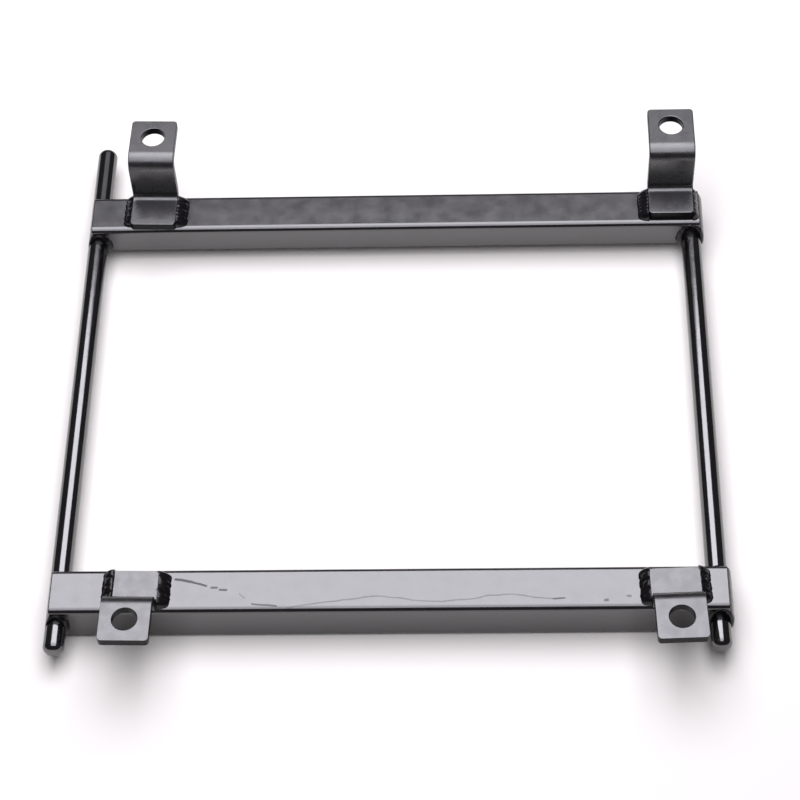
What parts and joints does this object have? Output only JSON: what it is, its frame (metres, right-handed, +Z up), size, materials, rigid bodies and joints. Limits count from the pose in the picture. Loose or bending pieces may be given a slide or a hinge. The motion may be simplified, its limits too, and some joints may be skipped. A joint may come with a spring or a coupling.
{
  "type": "seat adapter bracket",
  "caption": "Welded frame of box-section cross bars and round side rods, with raised strap tabs drilled for seat bolts, that adapts a vehicle seat to its floor rails.",
  "frame": {"origin": "middle of the front cross bar's underside, at floor level", "axes": "+X to the right along the cross bars, +Y to the rear along the side rods, +Z up through the tabs"},
  "size_m": [0.3483, 0.3458, 0.0597],
  "materials": {
    "bar_paint": "gloss",
    "rod_paint": "gloss",
    "tab_paint": "gloss",
    "weld_paint": "gloss"
  },
  "bodies": {
    "root": {"front_cross_bar": "bar_paint", "rear_cross_bar": "bar_paint", "left_rod": "rod_paint", "right_rod": "rod_paint", "front_left_tab": "tab_paint", "front_right_tab": "tab_paint", "rear_left_tab": "tab_paint", "rear_right_tab": "tab_paint", "front_left_tab_weld_left": "weld_paint", "front_left_tab_weld_right": "weld_paint", "front_right_tab_weld_left": "weld_paint", "front_right_tab_weld_right": "weld_paint", "rear_left_tab_weld_left": "weld_paint", "rear_left_tab_weld_right": "weld_paint", "rear_right_tab_weld_left": "weld_paint", "rear_right_tab_weld_right": "weld_paint", "front_left_rod_weld": "weld_paint", "front_right_rod_weld": "weld_paint", "rear_left_rod_weld": "weld_paint", "rear_right_rod_weld": "weld_paint"}
  },
  "joints": []
}
